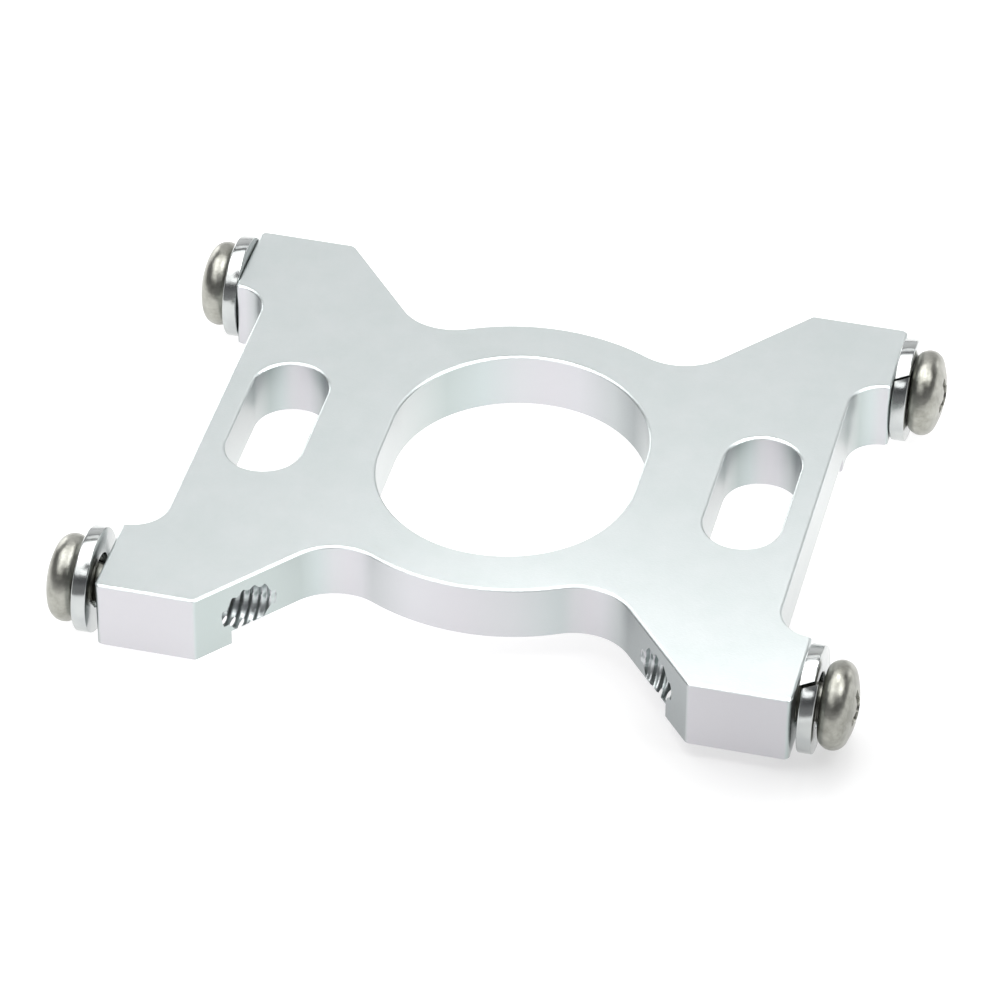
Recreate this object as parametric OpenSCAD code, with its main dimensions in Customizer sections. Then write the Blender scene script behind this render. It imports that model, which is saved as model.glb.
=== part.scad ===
// Motor mounting plate for a model helicopter frame.
// The plate joins two side frames: one screw with a spring lock washer goes into the end of each of its four arms.
// The origin is at the middle of the plate, on the face that the motor sits against.
// X runs along the screws, Y is the way the motor slides and Z points up.

/* [Plate] */
// Distance between the two side frames, over the arm ends
frame_gap = 35.3; // [34:0.1:42]
// Width of the plate between the notches, along X
waist_w = 31.6; // [30.6:0.1:32]
// Depth over the outer edges of the arms, along Y
plate_d = 30.4; // [30:0.1:34]
// Width of each arm end, along Y
arm_w = 5; // [4.6:0.1:5.4]
// Thickness at the arm ends
plate_t = 4; // [3.8:0.1:5]
// Straight length of each arm's outer edge
arm_edge = 5.15; // [4.6:0.05:5.6]
// Angle between the sloping flank of an arm and the X axis
flank_angle = 50; // [46:1:54]
// Diameter of the round middle of the plate
ring_d = 21.6; // [21:0.1:22.6]
// Radius of the hollow between a flank and the round middle
flank_r = 3; // [2:0.1:4]
// Radius of the hollow between an arm and the side of the plate
notch_r = 1.8; // [1:0.05:1.8]
// Width of the bevel on every long edge
bevel = 0.15; // [0.05:0.01:0.25]

/* [Motor seat] */
// Diameter of the round seat sunk into the underside
seat_d = 35; // [33:0.1:36]
// Depth of the seat
seat_depth = 0.8; // [0.4:0.1:1]
// Width of the centre opening, along X
opening_w = 13.3; // [10:0.1:15]
// Length of the centre opening, along Y
opening_l = 16.2; // [15.5:0.1:17]
// Distance between the two motor slots
slot_pitch = 25; // [24:0.1:26]
// Width of each motor slot
slot_w = 4; // [2.2:0.1:4.2]
// Length of each motor slot
slot_l = 9; // [6:0.1:11]

/* [Frame screws] */
// Outside diameter of the screw thread
thread_d = 2.44; // [2.3:0.01:2.46]
// Thread pitch
thread_pitch = 0.45; // [0.4:0.01:0.5]
// Diameter of the threaded hole in each arm end
hole_d = 2.5; // [2.5:0.01:2.6]
// Distance of the screw from the plate's middle line, along Y
screw_y = 12.7; // [12.5:0.05:12.8]
// Height of the screw axis over the underside of the arm end
screw_z = 2; // [1.9:0.05:2.1]
// Length of the screw under its head
screw_l = 6; // [5:0.5:8]
// Diameter of the screw head
head_d = 4.5; // [4:0.1:5]
// Height of the screw head
head_h = 1.7; // [1.5:0.05:2]
// Width of each arm of the cross recess
recess_w = 0.55; // [0.4:0.05:0.7]
// Length of the cross recess over two arms
recess_l = 2.4; // [1.8:0.1:2.6]
// Depth of the cross recess
recess_depth = 1.1; // [0.6:0.1:1.2]

/* [Lock washers] */
// Outside diameter of the spring lock washer
washer_od = 5.4; // [4.8:0.1:5.6]
// Inside diameter of the spring lock washer
washer_id = 2.8; // [2.56:0.01:2.9]
// Thickness of the spring lock washer
washer_t = 0.75; // [0.6:0.05:0.9]
// Width of the slanted split in the washer
split_w = 0.2; // [0.1:0.05:0.4]
// Slant of the split
split_angle = 25; // [0:5:40]

/* [Screw gaps] */
// Gap between washer and arm end, near left corner
gap_near_left = 0.43; // [0.02:0.01:0.9]
// Gap between washer and arm end, near right corner
gap_near_right = 0.14; // [0.02:0.01:0.9]
// Gap between washer and arm end, far left corner
gap_far_left = 0.02; // [0.02:0.01:0.9]
// Gap between washer and arm end, far right corner
gap_far_right = 0.04; // [0.02:0.01:0.9]

// Gap between screw head and washer, near left corner
loose_near_left = 0.14; // [0.02:0.01:0.4]
// Gap between screw head and washer, near right corner
loose_near_right = 0.11; // [0.02:0.01:0.4]
// Gap between screw head and washer, both far corners
loose_far = 0.02; // [0.02:0.01:0.4]

/* [Washer springs] */
// How far the washer's two ends stand apart, near left corner
spring_near_left = 0.1; // [0:0.01:0.5]
// How far the washer's two ends stand apart, near right corner
spring_near_right = 0.2; // [0:0.01:0.5]
// How far the washer's two ends stand apart, far left corner
spring_far_left = 0.02; // [0:0.01:0.5]
// How far the washer's two ends stand apart, far right corner
spring_far_right = 0.02; // [0:0.01:0.5]
// How far the two loose near washers sit above the screw axis
washer_lift = 0.14; // [0:0.01:0.15]

/* [Hidden] */
$fn = 96;

// Overhang of a cutting solid past the face it cuts
over = 1;
// Heights of the arm ends' underside and of the top face, counted from the seat's face at zero
foot_z = -seat_depth;
top_z = plate_t - seat_depth;
// Half sizes of the outline
end_x = frame_gap / 2;
side_x = waist_w / 2;
edge_y = plate_d / 2;
arm_y = edge_y - arm_w;
corner_x = end_x - arm_edge;
ring_r = ring_d / 2;

// Direction of a flank from its outer corner inwards, and its normal away from the metal
flank_dir = [-cos(flank_angle), -sin(flank_angle)];
flank_out = [-sin(flank_angle), cos(flank_angle)];
// Centre of the hollow, which touches both the flank and the round middle
flank_from = [corner_x, edge_y] + flank_r * flank_out;
flank_dot = flank_from * flank_dir;
flank_reach = -flank_dot - sqrt(flank_dot * flank_dot - flank_from * flank_from + pow(ring_r + flank_r, 2));
hollow_c = flank_from + flank_reach * flank_dir;
// Points where the hollow meets the flank and the round middle
flank_end = hollow_c - flank_r * flank_out;
ring_end = hollow_c * ring_r / (ring_r + flank_r);
ring_end_angle = atan2(ring_end[1], ring_end[0]);
// Length of a threaded hole, from the arm's end face out through the flank
hole_l = arm_edge + (edge_y - screw_y + hole_d / 2) / tan(flank_angle) + 0.4;
// Centre of the hollow between arm and side
notch_c = [side_x + notch_r, arm_y - notch_r];

// Screw thread: crest radius, core radius and number of ridges below a plain neck
thread_r = thread_d / 2;
core_r = thread_r - thread_pitch * 0.54;
ridges = floor(screw_l / thread_pitch) - 1;
// Screw head: radius, radius and height of its rounded side, and radius of the dome that runs into it
head_r = head_d / 2;
side_r = 0.75;
side_z = 0.65;
dome_r = (pow(head_r - side_r, 2) + pow(head_h - side_z, 2) - side_r * side_r) / (2 * (head_h - side_z - side_r));

// One quarter of the outline, as a flat shape with true arcs
module quarter_outline() {
    difference() {
        polygon([
            [0, 0], [side_x, 0], [side_x, arm_y - notch_r], notch_c, [notch_c[0], arm_y],
            [end_x, arm_y], [end_x, edge_y], [corner_x, edge_y], flank_end, hollow_c, ring_end
        ]);
        translate(notch_c) circle(r = notch_r);
        translate(hollow_c) circle(r = flank_r);
    }
}

// Copies its child into all four quarters
module four_ways() {
    for (mx = [0, 1])
        for (my = [0, 1])
            mirror([mx, 0, 0])
                mirror([0, my, 0])
                    children();
}

// Section of the cut that bevels an edge
module bevel_section() {
    polygon([[-bevel, 0], [0, -bevel], [bevel, 0], [0, bevel]]);
}

// Cuts a bevel along the straight edge from point a to point b
module bevel_bar(a, b, before = 0, after = 0) {
    run = b - a;
    translate([a[0], a[1], 0])
        rotate([0, 0, atan2(run[1], run[0])])
            translate([-before, 0, 0])
                rotate([90, 0, 90])
                    linear_extrude(norm(run) + before + after)
                        bevel_section();
}

// Cuts a bevel along a round edge
module bevel_ring(r, from = 0, turn = 360) {
    rotate([0, 0, from])
        rotate_extrude(angle = turn)
            translate([r, 0])
                bevel_section();
}

// The bevels of one level of the outline
module outline_bevels() {
    four_ways() {
        bevel_bar([side_x, 0], [side_x, notch_c[1]]);
        translate(notch_c) bevel_ring(notch_r, from = 90, turn = 90);
        bevel_bar([notch_c[0], arm_y], [end_x, arm_y], after = over);
        bevel_bar([end_x, arm_y], [end_x, edge_y], before = over, after = over);
        bevel_bar([end_x, edge_y], [corner_x, edge_y], before = over, after = over);
        bevel_bar([corner_x, edge_y], flank_end, before = over);
        translate(hollow_c) bevel_ring(flank_r);
    }
    for (side = [0, 180])
        bevel_ring(ring_r, from = side + ring_end_angle, turn = 180 - 2 * ring_end_angle);
}

// A long hole with round ends, along Y
module long_hole(w, l) {
    reach = (l - w) / 2;
    translate([0, 0, -over]) {
        for (s = [-1, 1])
            translate([0, s * reach, 0])
                cylinder(d = w, h = plate_t + 2 * over);
        translate([-w / 2, -reach, 0])
            cube([w, 2 * reach, plate_t + 2 * over]);
    }
}

// The bevels of one level of a long hole
module long_hole_bevels(w, l) {
    reach = (l - w) / 2;
    for (s = [-1, 1]) {
        translate([0, s * reach, 0])
            bevel_ring(w / 2, from = s > 0 ? 0 : 180, turn = 180);
        bevel_bar([s * w / 2, -reach], [s * w / 2, reach]);
    }
}

// The plate: four arms with threaded ends, a round middle, a centre opening and two motor slots
module plate() {
    color([0.80, 0.83, 0.83])
    difference() {
        translate([0, 0, foot_z])
            linear_extrude(plate_t) {
                four_ways() quarter_outline();
                circle(r = ring_r);
            }
        translate([0, 0, foot_z - over]) cylinder(d = seat_d, h = seat_depth + over);
        long_hole(opening_w, opening_l);
        for (s = [-1, 1])
            translate([s * slot_pitch / 2, 0, 0])
                long_hole(slot_w, slot_l);
        for (z = [0, top_z])
            translate([0, 0, z]) {
                long_hole_bevels(opening_w, opening_l);
                for (s = [-1, 1])
                    translate([s * slot_pitch / 2, 0, 0])
                        long_hole_bevels(slot_w, slot_l);
            }
        for (z = [foot_z, top_z])
            translate([0, 0, z]) outline_bevels();
        intersection() {
            outline_bevels();
            cylinder(d = seat_d, h = plate_t, center = true);
        }
        for (sx = [-1, 1])
            for (sy = [-1, 1])
                on_arm(sx, sy)
                    translate([0, 0, -hole_l])
                        cylinder(d = hole_d, h = hole_l + over);
    }
}

// Puts its child on the end face of one arm, with Z along the screw and away from the plate
module on_arm(sx, sy) {
    translate([sx * end_x, sy * screw_y, foot_z + screw_z])
        rotate([0, sx * 90, 0])
            children();
}

// Half section of a threaded shank, with one ridge for each pitch, from its tip up to z = 0
function shank_points() = concat(
    [[0, -screw_l], [core_r, -screw_l]],
    [for (i = [0:ridges - 1])
        let (z = -screw_l + i * thread_pitch)
        each [
            [core_r, z + thread_pitch * 0.06],
            [thread_r, z + thread_pitch * 0.44],
            [thread_r, z + thread_pitch * 0.56],
            [core_r, z + thread_pitch * 0.94]
        ]
    ],
    [[core_r, 0], [0, 0]]
);

// Half section of the domed head, standing on z = 0
module head_section() {
    intersection() {
        union() {
            translate([head_r - side_r, side_z]) circle(r = side_r);
            square([head_r - side_r, head_h]);
        }
        translate([0, head_h - dome_r]) circle(r = dome_r);
        square([head_d, head_d]);
    }
}

// A pan head screw with a cross recess, its head standing on z = 0 and its thread below
module screw() {
    color([0.70, 0.69, 0.64])
    difference() {
        union() {
            rotate_extrude() head_section();
            rotate_extrude() polygon(shank_points());
        }
        translate([0, 0, head_h - recess_depth]) {
            for (turn = [0, 90])
                rotate([0, 0, turn])
                    translate([-recess_l / 2, -recess_w / 2, 0])
                        cube([recess_l, recess_w, recess_depth + over]);
            cylinder(d1 = recess_w, d2 = recess_w * 3, h = recess_depth + over);
        }
    }
}

// A split spring lock washer standing on z = 0
module lock_washer() {
    color([0.78, 0.80, 0.80])
    difference() {
        cylinder(d = washer_od, h = washer_t);
        translate([0, 0, -over]) cylinder(d = washer_id, h = washer_t + 2 * over);
        translate([0, 0, washer_t / 2])
            rotate([split_angle, 0, 0])
                translate([0, -split_w / 2, -washer_od / 2])
                    cube([washer_od, split_w, washer_od]);
    }
}

// The screw of one corner. Its head stands clear of the height that the washer is sprung to.
module corner_screw(sx, sy, gap, spring, loose, turn) {
    on_arm(sx, sy)
        translate([0, 0, gap + spring + washer_t + loose])
            rotate([0, 0, turn])
                screw();
}

// The washer of one corner, drawn flat and halfway up the height that it is sprung to
module corner_washer(sx, sy, gap, spring, turn, lift = 0) {
    translate([0, 0, lift])
        on_arm(sx, sy)
            translate([0, 0, gap + spring / 2])
                rotate([0, 0, turn])
                    lock_washer();
}

module screw_near_left() { corner_screw(-1, -1, gap_near_left, spring_near_left, loose_near_left, 20); }
module screw_near_right() { corner_screw(1, -1, gap_near_right, spring_near_right, loose_near_right, 5); }
module screw_far_left() { corner_screw(-1, 1, gap_far_left, spring_far_left, loose_far, 40); }
module screw_far_right() { corner_screw(1, 1, gap_far_right, spring_far_right, loose_far, 10); }
module washer_near_left() { corner_washer(-1, -1, gap_near_left, spring_near_left, 90, washer_lift); }
module washer_near_right() { corner_washer(1, -1, gap_near_right, spring_near_right, 215, washer_lift); }
module washer_far_left() { corner_washer(-1, 1, gap_far_left, spring_far_left, 130); }
module washer_far_right() { corner_washer(1, 1, gap_far_right, spring_far_right, 220); }

plate();
screw_near_left();
screw_near_right();
screw_far_left();
screw_far_right();
washer_near_left();
washer_near_right();
washer_far_left();
washer_far_right();
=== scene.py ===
import math

import bmesh
import bpy
from mathutils import Matrix, Vector


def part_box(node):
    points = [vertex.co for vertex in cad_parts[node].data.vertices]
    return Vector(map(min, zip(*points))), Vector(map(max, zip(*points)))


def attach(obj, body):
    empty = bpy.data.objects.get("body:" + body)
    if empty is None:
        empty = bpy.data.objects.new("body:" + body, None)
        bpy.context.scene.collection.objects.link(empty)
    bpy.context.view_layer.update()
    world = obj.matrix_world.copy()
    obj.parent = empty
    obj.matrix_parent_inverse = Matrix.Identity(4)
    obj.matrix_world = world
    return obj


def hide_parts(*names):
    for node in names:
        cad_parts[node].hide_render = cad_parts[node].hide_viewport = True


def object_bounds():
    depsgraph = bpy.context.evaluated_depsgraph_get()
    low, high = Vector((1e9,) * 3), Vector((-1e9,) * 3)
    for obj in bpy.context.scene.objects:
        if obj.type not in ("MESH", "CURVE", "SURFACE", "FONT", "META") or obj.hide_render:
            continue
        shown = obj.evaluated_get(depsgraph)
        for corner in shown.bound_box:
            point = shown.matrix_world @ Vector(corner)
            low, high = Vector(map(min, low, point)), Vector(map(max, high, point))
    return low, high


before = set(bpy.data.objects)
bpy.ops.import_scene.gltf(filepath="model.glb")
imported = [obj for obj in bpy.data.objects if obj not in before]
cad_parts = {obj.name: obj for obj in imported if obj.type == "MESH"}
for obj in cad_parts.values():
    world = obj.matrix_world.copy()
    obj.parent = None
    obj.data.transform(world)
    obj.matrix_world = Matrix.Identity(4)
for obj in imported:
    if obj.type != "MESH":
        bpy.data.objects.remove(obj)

CAD_BOX = [list(corner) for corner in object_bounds()]
MM = 0.001
# Metres. Points closer than this after a cut are taken as one.
SLIVER = 2e-6

# ---------------------------------------------------------------- dimensions
# Millimetres, as in the CAD source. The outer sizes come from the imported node.
PLATE_LOW, PLATE_HIGH = (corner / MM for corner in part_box("plate"))
END_X = PLATE_HIGH.x
EDGE_Y = PLATE_HIGH.y
FOOT_Z = PLATE_LOW.z
TOP_Z = PLATE_HIGH.z
SEAT_Z = 0.0
SEAT_R = 17.5
SIDE_X = 15.8
ARM_Y = EDGE_Y - 5.0
CORNER_X = END_X - 5.15
FLANK_ANGLE = 50.0
RING_R = 10.8
HOLLOW_R = 3.0
NOTCH_R = 1.8
BEVEL = 0.15
CORNER_R = 0.3
INNER_CORNER_R = 0.16
OPENING = (0.0, 13.3, 16.2)
SLOTS = [(-12.5, 4.0, 9.0), (12.5, 4.0, 9.0)]

SCREW_Y = 12.7
SCREW_Z = FOOT_Z + 2.0
SCREW_L = 6.0
PITCH = 0.45
CREST_R = 1.22
CORE_R = CREST_R - PITCH * 0.54
SCREW_POINT_CUT = 0.22
# share of a pitch by which the screws' threads are set further out
THREAD_SHIFT = 0.1
HOLE_L = 8.8
HOLE_MAJOR_R = 1.27
HOLE_MINOR_R = 1.10
COUNTERSINK = ((0.9, -0.62), (1.36, -0.12), (1.6, 0.12))
HEAD_R = 2.25
HEAD_H = 1.7
HEAD_SIDE_R = 0.75
HEAD_SIDE_Z = 0.65
UNDERHEAD_R = 1.5
# length over two wings, width of a wing and depth below the crown, from the bottom of the recess up
RECESS_ROWS = ((0.62, 0.26, 1.15), (1.02, 0.36, 0.95), (2.75, 0.56, -0.3))
RECESS_POINT_DEPTH = 1.3
CONE_ROWS = ((0.275, 1.1), (0.60, -0.02))
WASHER_T = 0.75
WASHER_OUT_R = 2.699
WASHER_IN_R = 1.4
WASHER_EDGE_R = 0.07
WASHER_HALF_SPLIT = 1.3
WASHER_SPLIT_SLANT = 25

# name: side along X, side along Y, turn of the screw in degrees, turn of the washer's split in degrees,
# how far the washer's two ends stand apart, gap between head and washer, and how far the washer sits
# above the screw axis
CORNERS = {
    "near_left": (-1, -1, 20, 90, 0.10, 0.14, 0.14),
    "near_right": (1, -1, 5, 215, 0.20, 0.11, 0.14),
    "far_left": (-1, 1, 40, 130, 0.02, 0.02, 0.0),
    "far_right": (1, 1, 10, 220, 0.02, 0.02, 0.0),
}


# ---------------------------------------------------------------- mesh helpers
def polar(radius, degrees):
    a = math.radians(degrees)
    return radius * math.cos(a), radius * math.sin(a)


def make_object(name, bm, sharp_angle=50.0):
    """A named object in metres from a bmesh in millimetres, its normals outward and its edges marked."""
    bmesh.ops.remove_doubles(bm, verts=bm.verts, dist=1e-5)
    bmesh.ops.recalc_face_normals(bm, faces=bm.faces)
    bmesh.ops.scale(bm, vec=(MM, MM, MM), verts=bm.verts)
    mesh = bpy.data.meshes.new(name)
    bm.to_mesh(mesh)
    bm.free()
    obj = bpy.data.objects.new(name, mesh)
    bpy.context.scene.collection.objects.link(obj)
    mark_sharp(mesh, sharp_angle)
    return obj


def mark_sharp(mesh, sharp_angle):
    """Smooth faces everywhere, and sharp edges where two faces meet at more than the angle."""
    bm = bmesh.new()
    bm.from_mesh(mesh)
    limit = math.radians(sharp_angle)
    for face in bm.faces:
        face.smooth = True
    for edge in bm.edges:
        edge.smooth = len(edge.link_faces) == 2 and edge.calc_face_angle(0) < limit
    bm.to_mesh(mesh)
    bm.free()


def tidy_cut(mesh):
    """Merges the points that a cut leaves almost on top of each other, and the slivers between them."""
    bm = bmesh.new()
    bm.from_mesh(mesh)
    bmesh.ops.remove_doubles(bm, verts=bm.verts, dist=SLIVER)
    bmesh.ops.dissolve_degenerate(bm, dist=SLIVER, edges=bm.edges)
    bmesh.ops.delete(bm, geom=[v for v in bm.verts if not v.link_faces], context="VERTS")
    bm.to_mesh(mesh)
    bm.free()


def cut(obj, tool, sharp_angle=50.0):
    """Takes the tool's volume out of obj, and removes the tool."""
    modifier = obj.modifiers.new("cut", "BOOLEAN")
    modifier.operation = "DIFFERENCE"
    modifier.solver = "EXACT"
    modifier.object = tool
    graph = bpy.context.evaluated_depsgraph_get()
    result = bpy.data.meshes.new_from_object(obj.evaluated_get(graph))
    obj.modifiers.clear()
    obj.data = result
    bpy.data.objects.remove(tool)
    tidy_cut(result)
    mark_sharp(result, sharp_angle)


def face_rank(normal):
    """How much a face's direction counts where faces meet: flat ones most, then walls, then bevels."""
    if abs(normal.z) > 0.999:
        return 1000.0
    return 30.0 if abs(normal.z) < 0.02 else 1.0


def soft_bevels(obj, smooth_angle=50.0):
    """Flat faces and walls shade as they are. A bevel rounds off into the flat face beside it, and
    meets its wall at a crease."""
    bm = bmesh.new()
    bm.from_mesh(obj.data)
    limit = math.cos(math.radians(smooth_angle))
    normals = []
    for face in bm.faces:
        for corner in face.loops:
            total = Vector()
            for other in corner.vert.link_loops:
                wall, slope = sorted((abs(face.normal.z), abs(other.face.normal.z)))
                crease = wall < 0.3 and slope > 0.6
                if other.face.normal.dot(face.normal) > limit and not crease:
                    total += other.face.normal * (other.calc_angle() * face_rank(other.face.normal))
            normals.append(total.normalized() if total.length > 0 else face.normal.copy())
    bm.free()
    obj.data.normals_split_custom_set(normals)


def strip(bm, lower, upper, closed=True):
    """Quads between two rows of vertices."""
    count = len(lower)
    for i in range(count if closed else count - 1):
        j = (i + 1) % count
        bm.faces.new((lower[i], lower[j], upper[j], upper[i]))


def ring(bm, radius, z, count):
    return [bm.verts.new((*polar(radius, 360 * i / count), z)) for i in range(count)]


def fan(bm, rim, z):
    centre = bm.verts.new((0, 0, z))
    for i in range(len(rim)):
        bm.faces.new((rim[i], rim[(i + 1) % len(rim)], centre))


def fill(bm, loops):
    """A flat face with holes, from its loops of vertices."""
    edges = []
    for loop in loops:
        for i in range(len(loop)):
            pair = (loop[i], loop[(i + 1) % len(loop)])
            edges.append(bm.edges.get(pair) or bm.edges.new(pair))
    bmesh.ops.triangle_fill(bm, edges=edges, use_beauty=True, use_dissolve=False)


# ---------------------------------------------------------------- plate
def arc(cx, cy, radius, start, end, hollow=False, step=4.0):
    """Points of a round part of the outline with their normals out of the metal."""
    count = max(2, math.ceil(abs(end - start) / step))
    side = -1 if hollow else 1
    points = []
    for i in range(count + 1):
        c, s = polar(1, start + (end - start) * i / count)
        points.append((cx + radius * c, cy + radius * s, side * c, side * s))
    return points


def quarter_outline():
    """The outline of one quarter, from the middle of the right side to the middle of the far side."""
    notch = (SIDE_X + NOTCH_R, ARM_Y - NOTCH_R)
    inner_x = END_X - INNER_CORNER_R
    inner_y = notch[1] + math.sqrt((NOTCH_R + INNER_CORNER_R) ** 2 - (notch[0] - inner_x) ** 2)
    touch = math.degrees(math.atan2(inner_y - notch[1], inner_x - notch[0]))
    flank = Vector(polar(1, 180 + FLANK_ANGLE))
    out = Vector(polar(1, 90 + FLANK_ANGLE))
    start = Vector((CORNER_X, EDGE_Y)) + HOLLOW_R * out
    dot = start.dot(flank)
    reach = -dot - math.sqrt(dot**2 - start.length_squared + (RING_R + HOLLOW_R) ** 2)
    hollow = start + reach * flank
    ring_angle = math.degrees(math.atan2(hollow.y, hollow.x))
    outer_x = CORNER_X + CORNER_R * math.tan(math.radians(FLANK_ANGLE / 2))
    points = [(SIDE_X, 0.0, 1.0, 0.0)]
    points += arc(*notch, NOTCH_R, 180, touch, hollow=True, step=7)
    points += arc(inner_x, inner_y, INNER_CORNER_R, touch - 180, 0, step=14)
    points += arc(END_X - CORNER_R, EDGE_Y - CORNER_R, CORNER_R, 0, 90, step=12)
    points += arc(outer_x, EDGE_Y - CORNER_R, CORNER_R, 90, 90 + FLANK_ANGLE, step=12)
    points += arc(hollow.x, hollow.y, HOLLOW_R, 270 + FLANK_ANGLE, 180 + ring_angle, hollow=True)
    points += arc(0, 0, RING_R, ring_angle, 90, step=2.5)
    return points


def whole_outline():
    """The four quarters as one loop, with a point added where the loop crosses the seat's edge."""
    quarter = quarter_outline()
    loop = list(quarter)
    loop += [(-x, y, -nx, ny) for x, y, nx, ny in reversed(quarter)]
    loop += [(-x, -y, -nx, -ny) for x, y, nx, ny in quarter]
    loop += [(x, -y, nx, -ny) for x, y, nx, ny in reversed(quarter)]
    merged = []
    for point in loop:
        if not merged or math.dist(point[:2], merged[-1][:2]) > 1e-4:
            merged.append(point)
    if math.dist(merged[0][:2], merged[-1][:2]) < 1e-4:
        merged.pop()
    marked = []
    for i, (x, y, nx, ny) in enumerate(merged):
        inside = math.hypot(x, y) < SEAT_R
        marked.append((x, y, nx, ny, "in" if inside else "out"))
        x2, y2, nx2, ny2 = merged[(i + 1) % len(merged)]
        if inside != (math.hypot(x2, y2) < SEAT_R):
            dx, dy = x2 - x, y2 - y
            a, b, c = dx * dx + dy * dy, x * dx + y * dy, x * x + y * y - SEAT_R**2
            root = math.sqrt(b * b - a * c)
            t = next(v for v in ((-b - root) / a, (-b + root) / a) if 0 <= v <= 1)
            marked.append((x + t * dx, y + t * dy, (nx + nx2) / 2, (ny + ny2) / 2, "cross"))
    return marked


def long_hole(bm, cx, width, length):
    """The wall and the bevels of a long hole. Returns its lowest and its highest row."""
    reach = (length - width) / 2
    points = arc(cx, reach, width / 2, 0, 180) + arc(cx, -reach, width / 2, 180, 360)
    rows = []
    for grow, z in ((BEVEL, SEAT_Z), (0, SEAT_Z + BEVEL), (0, TOP_Z - BEVEL), (BEVEL, TOP_Z)):
        rows.append([bm.verts.new((x + grow * nx, y + grow * ny, z)) for x, y, nx, ny in points])
    for lower, upper in zip(rows, rows[1:]):
        strip(bm, lower, upper)
    return rows[0], rows[-1]


def build_plate():
    bm = bmesh.new()
    loop = whole_outline()
    levels = {
        "foot": (BEVEL, FOOT_Z), "foot_wall": (0, FOOT_Z + BEVEL),
        "seat": (BEVEL, SEAT_Z), "seat_wall": (0, SEAT_Z + BEVEL),
        "top_wall": (0, TOP_Z - BEVEL), "top": (BEVEL, TOP_Z),
    }
    kept = {
        "in": ("seat", "seat_wall", "top_wall", "top"),
        "out": ("foot", "foot_wall", "top_wall", "top"),
        "cross": ("foot", "foot_wall", "seat", "seat_wall", "top_wall", "top"),
    }
    columns = []
    for x, y, nx, ny, kind in loop:
        column = {"kind": kind}
        for level in kept[kind]:
            inset, z = levels[level]
            column[level] = bm.verts.new((x - inset * nx, y - inset * ny, z))
        columns.append(column)
    for i, a in enumerate(columns):
        b = columns[(i + 1) % len(columns)]
        bm.faces.new((a["top_wall"], b["top_wall"], b["top"], a["top"]))
        low = "seat" if "in" in (a["kind"], b["kind"]) else "foot"
        wall = low + "_wall"
        bm.faces.new((a[low], b[low], b[wall], a[wall]))
        side = [a[wall], b[wall]]
        if low == "foot" and b["kind"] == "cross":
            side.append(b["seat_wall"])
        side += [b["top_wall"], a["top_wall"]]
        if low == "foot" and a["kind"] == "cross":
            side.append(a["seat_wall"])
        bm.faces.new(side)

    # the four arms' undersides, and the seat's edge that bounds each of them
    crossings = [i for i, c in enumerate(columns) if c["kind"] == "cross"]
    seat_rim = []
    for n, start in enumerate(crossings):
        end = crossings[(n + 1) % len(crossings)]
        run = [(start + k) % len(columns) for k in range((end - start) % len(columns) + 1)]
        if columns[run[1]]["kind"] == "in":
            seat_rim += [columns[i]["seat"] for i in run[1:-1]]
            continue
        a, b = columns[start], columns[end]
        from_angle = math.degrees(math.atan2(a["seat"].co.y, a["seat"].co.x))
        to_angle = math.degrees(math.atan2(b["seat"].co.y, b["seat"].co.x))
        turn = (to_angle - from_angle) % 360
        count = max(3, math.ceil(turn / 2))
        low_row, high_row = [a["foot"]], [a["seat"]]
        for k in range(1, count):
            x, y = polar(SEAT_R, from_angle + turn * k / count)
            low_row.append(bm.verts.new((x, y, FOOT_Z)))
            high_row.append(bm.verts.new((x, y, SEAT_Z)))
        low_row.append(b["foot"])
        high_row.append(b["seat"])
        strip(bm, low_row, high_row, closed=False)
        for c in (a, b):
            bm.faces.new((c["foot"], c["foot_wall"], c["seat_wall"], c["seat"]))
        fill(bm, [[columns[i]["foot"] for i in run] + low_row[-2:0:-1]])
        seat_rim += high_row
    holes = [long_hole(bm, *size) for size in (OPENING, *SLOTS)]
    fill(bm, [seat_rim] + [low for low, _ in holes])
    fill(bm, [[c["top"] for c in columns]] + [high for _, high in holes])
    return make_object("plate_body", bm)


# ---------------------------------------------------------------- threads
def helix(bm, profile, turns, z, count):
    """A right-hand thread from z upwards, closed into a flat ring at each end. The profile is a list
    of (share of one pitch, radius as a function of the number of turns). Returns the two end rings."""
    per_turn = len(profile)
    rows = []
    for m in range(turns * per_turn + 1):
        share, radius = profile[m % per_turn]
        row = []
        for j in range(count):
            x, y = polar(radius(m // per_turn + share + j / count), 360 * j / count)
            row.append(bm.verts.new((x, y, z + PITCH * (m // per_turn + share + j / count))))
        rows.append(row)
    for lower, upper in zip(rows, rows[1:]):
        strip(bm, lower, upper, closed=False)
    for m in range(len(rows) - 1 - per_turn):
        bm.faces.new((rows[m][-1], rows[m + per_turn][0], rows[m + 1 + per_turn][0], rows[m + 1][-1]))
    bottom = ring(bm, profile[0][1](0), z, count)
    top = ring(bm, profile[0][1](turns + 1), z + PITCH * (turns + 1 + profile[0][0]), count)
    strip(bm, bottom, rows[0], closed=False)
    strip(bm, rows[-1], top, closed=False)
    bm.faces.new([bottom[-1], bottom[0]] + [rows[k][0] for k in range(per_turn + 1)] + [rows[0][-1]])
    bm.faces.new([top[0], top[-1]] + [rows[-1 - k][-1] for k in range(per_turn + 1)] + [rows[-1][0]])
    return bottom, top


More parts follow.
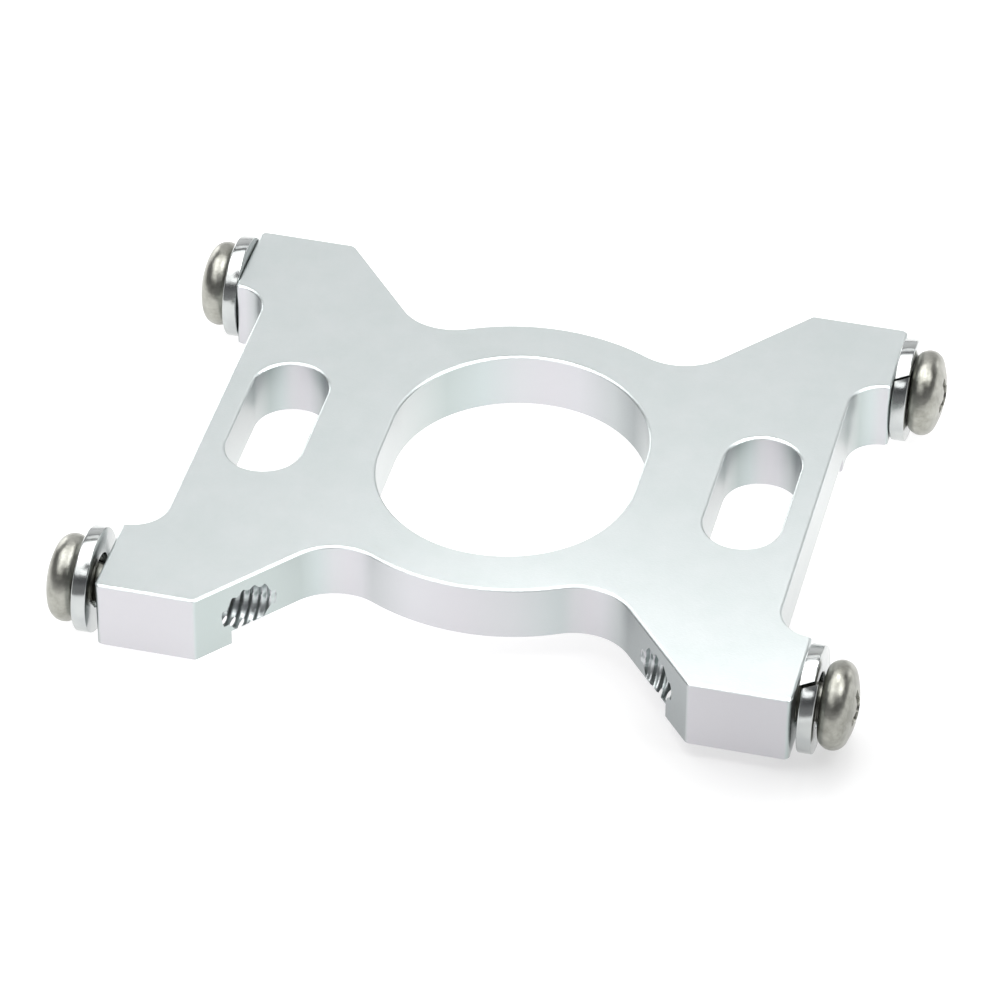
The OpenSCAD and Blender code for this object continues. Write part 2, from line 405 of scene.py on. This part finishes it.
def tap():
    """The solid that a threaded hole takes out of an arm. The hole's mouth is at z = 0."""
    bm = bmesh.new()
    profile = [
        (0.0, lambda t: HOLE_MINOR_R), (0.32, lambda t: HOLE_MAJOR_R),
        (0.44, lambda t: HOLE_MAJOR_R), (0.76, lambda t: HOLE_MINOR_R),
    ]
    turns = math.ceil(HOLE_L / PITCH)
    low = -turns * PITCH
    bottom, top = helix(bm, profile, turns, low, 48)
    fan(bm, bottom, low)
    fan(bm, top, top[0].co.z)
    return make_object("tap", bm)


def countersink():
    """The small cone that eases the mouth of a threaded hole."""
    bm = bmesh.new()
    rows = [ring(bm, radius, z, 48) for radius, z in COUNTERSINK]
    for lower, upper in zip(rows, rows[1:]):
        strip(bm, lower, upper)
    fan(bm, rows[0], COUNTERSINK[0][1])
    fan(bm, rows[-1], COUNTERSINK[-1][1])
    return make_object("countersink", bm)


# ---------------------------------------------------------------- screws
def head_profile():
    """Radius and height of the head's surface, from under its rim to its crown."""
    rise = HEAD_H - HEAD_SIDE_Z
    flat = HEAD_R - HEAD_SIDE_R
    dome_r = (flat**2 + rise**2 - HEAD_SIDE_R**2) / (2 * (rise - HEAD_SIDE_R))
    dome_z = HEAD_H - dome_r
    join = math.degrees(math.atan2(HEAD_SIDE_Z - dome_z, flat))
    start = -math.degrees(math.asin(HEAD_SIDE_Z / HEAD_SIDE_R))
    points = []
    for i in range(19):
        r, z = polar(HEAD_SIDE_R, start + (join - start) * i / 18)
        points.append((flat + r, HEAD_SIDE_Z + z))
    for i in range(1, 14):
        r, z = polar(dome_r, join + (89.2 - join) * i / 13)
        points.append((r, dome_z + z))
    return points


def cross_recess():
    """The cutting solid of a cross recess: four tapered wings over a short point."""
    bm = bmesh.new()
    rows = []
    for length, width, depth in RECESS_ROWS:
        a, b = length / 2, width / 2
        corners = [(a, -b), (a, b), (b, b), (b, a), (-b, a), (-b, b)]
        corners += [(-x, -y) for x, y in corners]
        rows.append([bm.verts.new((x, y, HEAD_H - depth)) for x, y in corners])
    for lower, upper in zip(rows, rows[1:]):
        strip(bm, lower, upper)
    fan(bm, rows[0], HEAD_H - RECESS_POINT_DEPTH)
    fan(bm, rows[-1], HEAD_H - RECESS_ROWS[-1][2])
    return make_object("recess", bm)


def recess_cone():
    """The cone that opens the middle of the cross recess."""
    bm = bmesh.new()
    rows = [ring(bm, radius, HEAD_H - depth, 32) for radius, depth in CONE_ROWS]
    strip(bm, *rows)
    for row, (_, depth) in zip(rows, CONE_ROWS):
        fan(bm, row, HEAD_H - depth)
    return make_object("recess_cone", bm)


def build_screw(name, phase):
    """A pan head screw with its head's underside at z = 0. A larger phase starts the thread higher."""
    bm = bmesh.new()
    count = 64
    turns = int(SCREW_L / PITCH) - 3
    low = -SCREW_L + 0.3 + phase

    def grown(radius):
        """The radius that the thread grows to, as a function of the number of turns from its start."""
        def at(t):
            lead_in = min(1.0, 0.25 + t / 1.5)
            run_out = min(1.0, max(0.0, (turns + 0.8 - t) / 0.9))
            return CORE_R - 0.05 * (1 - lead_in) + (radius - CORE_R) * min(lead_in, run_out)
        return at

    profile = [
        (0.06, grown(CORE_R)), (0.44, grown(CREST_R)),
        (0.56, grown(CREST_R)), (0.94, grown(CORE_R)),
    ]
    bottom, top = helix(bm, profile, turns, low, count)
    point = ring(bm, CORE_R - SCREW_POINT_CUT, -SCREW_L, count)
    strip(bm, point, bottom)
    fan(bm, point, -SCREW_L)
    last = ring(bm, CORE_R, -0.06, count)
    strip(bm, top, last)
    for radius, z in [(CORE_R + 0.06, 0.0), (UNDERHEAD_R, 0.0)] + head_profile():
        row = ring(bm, radius, z, count)
        strip(bm, last, row)
        last = row
    fan(bm, last, HEAD_H)
    screw = make_object(name, bm)
    cut(screw, cross_recess(), 40)
    cut(screw, recess_cone(), 40)
    return screw


# ---------------------------------------------------------------- washers
def build_washer(name, rise):
    """A split spring washer standing on z = 0, its split towards +X. Its two ends differ in height by
    the rise."""
    bm = bmesh.new()
    edge = WASHER_EDGE_R
    high = WASHER_T - edge
    section = []
    for cx, cz, start in (
        (WASHER_OUT_R - edge, edge, -90), (WASHER_OUT_R - edge, high, 0),
        (WASHER_IN_R + edge, high, 90), (WASHER_IN_R + edge, edge, 180),
    ):
        for k in range(4):
            r, z = polar(edge, start + 30 * k)
            section.append((cx + r, cz + z))
    count = 96
    slant = math.tan(math.radians(WASHER_SPLIT_SLANT))
    rows = []
    for i in range(count + 1):
        share = i / count
        row = []
        for r, z in section:
            lean = -math.degrees(slant * (z - WASHER_T / 2) / r)
            angle = lean + WASHER_HALF_SPLIT + (360 - 2 * WASHER_HALF_SPLIT) * share
            row.append(bm.verts.new((*polar(r, angle), z + rise * (1 - share))))
        rows.append(row)
    for lower, upper in zip(rows, rows[1:]):
        strip(bm, lower, upper)
    bm.faces.new(rows[0])
    bm.faces.new(rows[-1])
    return make_object(name, bm)


# ---------------------------------------------------------------- materials
def new_material(name, **inputs):
    material = bpy.data.materials.new(name)
    material.use_nodes = True
    shader = material.node_tree.nodes["Principled BSDF"]
    for key, value in inputs.items():
        shader.inputs[key.replace("_", " ")].default_value = value
    return material, material.node_tree, shader


def add_node(tree, kind, **settings):
    """A node; settings named in_... set its inputs, others its properties."""
    node = tree.nodes.new(kind)
    for key, value in settings.items():
        if key.startswith("in_"):
            node.inputs[key[3:].replace("_", " ")].default_value = value
        else:
            setattr(node, key, value)
    return node


def noise(tree, coords, scale, detail=2.0, roughness=0.5):
    node = add_node(
        tree, "ShaderNodeTexNoise", in_Scale=scale, in_Detail=detail, in_Roughness=roughness,
    )
    tree.links.new(coords, node.inputs["Vector"])
    return node.outputs["Fac"]


def grey(level, blue=0.0):
    return level, level, level + blue


def ramp(tree, value, stops):
    node = tree.nodes.new("ShaderNodeValToRGB")
    while len(node.color_ramp.elements) < len(stops):
        node.color_ramp.elements.new(0.5)
    for element, (place, colour) in zip(node.color_ramp.elements, stops):
        element.position = place
        element.color = (*colour, 1)
    tree.links.new(value, node.inputs["Fac"])
    return node.outputs["Color"]


def to_range(tree, value, low, high):
    node = add_node(tree, "ShaderNodeMapRange", in_To_Min=low, in_To_Max=high)
    tree.links.new(value, node.inputs["Value"])
    return node.outputs["Result"]


def bump(tree, height, distance, strength=1.0):
    node = add_node(tree, "ShaderNodeBump", in_Distance=distance, in_Strength=strength)
    tree.links.new(height, node.inputs["Height"])
    return node.outputs["Normal"]


def plate_material():
    """Fine blasted grain. The walls carry painted shade and painted light: their colour is darker or
    lighter by the way each points along X, and the top is paler than the walls.
    """
    material, tree, shader = new_material("blasted aluminium with painted wall shade", Metallic=1.0)
    coords = tree.nodes.new("ShaderNodeTexCoord")
    facing = tree.nodes.new("ShaderNodeSeparateXYZ")
    tree.links.new(coords.outputs["Normal"], facing.inputs["Vector"])
    sideways = add_node(tree, "ShaderNodeMapRange", in_From_Min=-1.0)
    tree.links.new(facing.outputs["X"], sideways.inputs["Value"])
    # painted shade and painted light: the walls' colour is darker or lighter by how far they point
    # towards -X or +X, for how light falls on them
    wall = ramp(tree, sideways.outputs["Result"], [
        (0.05, (0.46, 0.49, 0.49)), (0.12, (0.35, 0.375, 0.38)), (0.22, (0.49, 0.515, 0.52)),
        (0.38, (0.585, 0.585, 0.61)), (0.5, (0.59, 0.583, 0.61)), (0.62, (0.58, 0.59, 0.607)),
        (0.75, (0.53, 0.585, 0.585)), (0.875, (0.475, 0.53, 0.52)), (1.0, (0.62, 0.645, 0.64)),
    ])
    stretched = add_node(tree, "ShaderNodeMapping", in_Scale=(0.55, 1.0, 1.0))
    tree.links.new(coords.outputs["Object"], stretched.inputs["Vector"])
    grain = noise(tree, stretched.outputs["Vector"], 11000, 2.0, 0.6)
    cloud = noise(tree, coords.outputs["Object"], 420, 4.0, 0.65)
    top = ramp(tree, cloud, [(0.3, (0.62, 0.67, 0.665)), (0.7, (0.66, 0.70, 0.70))])
    # the top takes its paler grain colour, the walls their painted shade
    colour = add_node(tree, "ShaderNodeMix", data_type="RGBA")
    tree.links.new(facing.outputs["Z"], colour.inputs[0])
    tree.links.new(wall, colour.inputs[6])
    tree.links.new(top, colour.inputs[7])
    tree.links.new(colour.outputs[2], shader.inputs["Base Color"])
    tree.links.new(to_range(tree, grain, 0.27, 0.41), shader.inputs["Roughness"])
    tree.links.new(bump(tree, grain, 0.000012, 0.5), shader.inputs["Normal"])
    return material


def screw_material():
    material, tree, shader = new_material("nickel plated steel", Metallic=1.0)
    coords = tree.nodes.new("ShaderNodeTexCoord").outputs["Object"]
    stain = noise(tree, coords, 1100, 4.0, 0.65)
    colour = ramp(tree, stain, [(0.35, (0.27, 0.27, 0.24)), (0.65, (0.44, 0.44, 0.40))])
    tree.links.new(colour, shader.inputs["Base Color"])
    tree.links.new(to_range(tree, stain, 0.24, 0.40), shader.inputs["Roughness"])
    ripple = noise(tree, coords, 2600, 3.0, 0.6)
    tree.links.new(bump(tree, ripple, 0.00004, 0.5), shader.inputs["Normal"])
    return material


def washer_material():
    material, tree, shader = new_material("bright zinc plate", Metallic=1.0)
    coords = tree.nodes.new("ShaderNodeTexCoord").outputs["Object"]
    cloud = noise(tree, coords, 700, 2.0)
    colour = ramp(tree, cloud, [(0.3, (0.48, 0.50, 0.50)), (0.7, (0.58, 0.60, 0.59))])
    tree.links.new(colour, shader.inputs["Base Color"])
    tree.links.new(to_range(tree, cloud, 0.12, 0.22), shader.inputs["Roughness"])
    tree.links.new(bump(tree, noise(tree, coords, 2200, 2.0), 0.00002, 0.3), shader.inputs["Normal"])
    return material


# ---------------------------------------------------------------- assembly
def arm_matrix(side_x, side_y, out, turn=0.0):
    """Places a piece on an arm's end face, with its z axis out along X. Out is its distance in mm."""
    centre = Vector((side_x * (END_X + out), side_y * SCREW_Y, SCREW_Z)) * MM
    return (
        Matrix.Translation(centre)
        @ Matrix.Rotation(math.radians(side_x * 90), 4, "Y")
        @ Matrix.Rotation(math.radians(turn), 4, "Z")
    )


plate = build_plate()
for side_x, side_y, *_ in CORNERS.values():
    for tool in (tap(), countersink()):
        tool.data.transform(arm_matrix(side_x, side_y, 0))
        cut(plate, tool)
soft_bevels(plate)
plate.data.materials.append(plate_material())
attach(plate, "plate")
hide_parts("plate")

screw_finish = screw_material()
washer_finish = washer_material()
for corner, (side_x, side_y, turn, split, rise, loose, lift) in CORNERS.items():
    low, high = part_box("washer_" + corner)
    flat = (low.x if side_x > 0 else -high.x) / MM - END_X
    gap = flat - rise / 2
    head = gap + rise + WASHER_T + loose
    phase = (PITCH * (turn / 360 + THREAD_SHIFT) - head + SCREW_L) % PITCH
    screw = build_screw("screw_" + corner + "_body", phase)
    screw.data.transform(arm_matrix(side_x, side_y, head, turn))
    screw.data.materials.append(screw_finish)
    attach(screw, "frame_screw_" + corner)
    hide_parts("screw_" + corner)
    washer = build_washer("washer_" + corner + "_body", rise)
    raised = Matrix.Translation((0, 0, lift * MM))
    washer.data.transform(raised @ arm_matrix(side_x, side_y, gap, split))
    washer.data.materials.append(washer_finish)
    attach(washer, "lock_washer_" + corner)
    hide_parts("washer_" + corner)

# ---------------------------------------------------------------- stage
FLOOR_Z = CAD_BOX[0][2]
FLOOR_HALF_SIZE = 900
# centre and reach of a painted darker patch in the floor's painted glow, at its near right
PAINTED_DIM_SPOT = (0.022, -0.022, FLOOR_Z)
PAINTED_DIM_FROM, PAINTED_DIM_TO = 0.008, 0.028


def floor_material():
    """A pale floor that glows as painted light, so shadows on it stay faint; the glow is painted dimmer
    towards its near right.
    """
    material, tree, shader = new_material("pale floor", Roughness=0.6, Emission_Strength=1.0)
    coords = tree.nodes.new("ShaderNodeTexCoord").outputs["Object"]
    cloud = noise(tree, coords, 60, 2.0)
    colour = ramp(tree, cloud, [(0.3, grey(0.34)), (0.7, grey(0.36))])
    tree.links.new(colour, shader.inputs["Base Color"])
    away = add_node(tree, "ShaderNodeVectorMath", operation="DISTANCE")
    tree.links.new(coords, away.inputs[0])
    away.inputs[1].default_value = PAINTED_DIM_SPOT
    spread = add_node(tree, "ShaderNodeMapRange", in_From_Min=PAINTED_DIM_FROM, in_From_Max=PAINTED_DIM_TO)
    tree.links.new(away.outputs["Value"], spread.inputs["Value"])
    stops = [(0.0, grey(0.57)), (0.5, grey(0.70)), (1.0, grey(0.89))]
    # painted glow: dimmest at the near right spot, brighter away from it
    painted_glow = ramp(tree, spread.outputs["Result"], stops)
    tree.links.new(painted_glow, shader.inputs["Emission Color"])
    return material


def build_floor():
    bm = bmesh.new()
    bm.faces.new([
        bm.verts.new((x * FLOOR_HALF_SIZE, y * FLOOR_HALF_SIZE, FLOOR_Z / MM))
        for x, y in ((-1, -1), (1, -1), (1, 1), (-1, 1))
    ])
    floor = make_object("floor", bm)
    floor.data.materials.append(floor_material())
    return floor


build_floor()


MIDDLE = (0, 0, 0)
# name: place, the point it faces, its two sides in metres, and its power in watts
SOFTBOXES = {
    "overhead": ((0.0, 0.05, 0.45), MIDDLE, (0.55, 0.50), 1.75),
    "far edge": ((0.0, 0.46, 0.40), MIDDLE, (0.55, 0.10), 0.25),
    "back": ((0.0, 0.30, 0.10), MIDDLE, (0.60, 0.16), 0.18),
    "front": ((-0.05, -0.33, 0.37), MIDDLE, (0.20, 0.10), 0.12),
    "left": ((-0.20, 0.05, 0.38), MIDDLE, (0.20, 0.30), 0.34),
    "right": ((0.277, 0.0, 0.355), MIDDLE, (0.20, 0.20), 0.47),
    "back left": ((-0.311, 0.311, 0.094), MIDDLE, (0.20, 0.20), 0.30),
    "back right": ((0.264, 0.296, 0.060), MIDDLE, (0.12, 0.08), 0.06),
    "front left": ((-0.196, -0.196, 0.355), MIDDLE, (0.20, 0.20), 0.19),
    "near edge": ((-0.004, 0.014, 0.040), (0.002, -0.016, 0), (0.012, 0.012), 0.00097),
    "near right arm": ((0.020, 0.008, 0.050), (0.022, -0.024, 0), (0.012, 0.012), 0.0039),
    "near right corner": ((0.010, 0.026, 0.060), (0.018, -0.020, 0), (0.020, 0.020), 0.0016),
}


def softbox(name, place, aim, size, power):
    light = bpy.data.lights.new(name, "AREA")
    light.shape = "RECTANGLE"
    light.size, light.size_y = size
    light.energy = power
    obj = bpy.data.objects.new(name, light)
    obj.location = place
    obj.rotation_mode = "QUATERNION"
    obj.rotation_quaternion = (Vector(aim) - Vector(place)).to_track_quat("-Z", "Y")
    bpy.context.scene.collection.objects.link(obj)


for name, settings in SOFTBOXES.items():
    softbox(name, *settings)


def studio_world():
    """A dim room around the softboxes."""
    world = bpy.data.worlds.new("studio")
    world.use_nodes = True
    tree = world.node_tree
    coords = tree.nodes.new("ShaderNodeTexCoord").outputs["Generated"]
    split = tree.nodes.new("ShaderNodeSeparateXYZ")
    tree.links.new(coords, split.inputs["Vector"])
    stops = [
        (0.0, grey(0.26, 0.005)), (0.3, grey(0.24, 0.005)),
        (0.5, grey(0.09, 0.005)), (0.75, grey(0.10, 0.005)),
    ]
    colour = ramp(tree, split.outputs["Z"], stops)
    tree.links.new(colour, tree.nodes["Background"].inputs["Color"])
    bpy.context.scene.world = world


studio_world()
bpy.context.scene.view_settings.view_transform = "Standard"

# ---------------------------------------------------------------- camera
CAMERA_PLACE = (0.05165, -0.21339, 0.17976)
CAMERA_TURN = (50.709, -0.288, 14.011)
CAMERA_LENS = 198.76
camera_data = bpy.data.cameras.new("camera")
camera_data.sensor_width = 36.0
camera_data.lens = CAMERA_LENS
camera_data.clip_start, camera_data.clip_end = 0.01, 10.0
camera = bpy.data.objects.new("camera", camera_data)
camera.location = CAMERA_PLACE
camera.rotation_euler = [math.radians(a) for a in CAMERA_TURN]
bpy.context.scene.collection.objects.link(camera)
bpy.context.scene.camera = camera
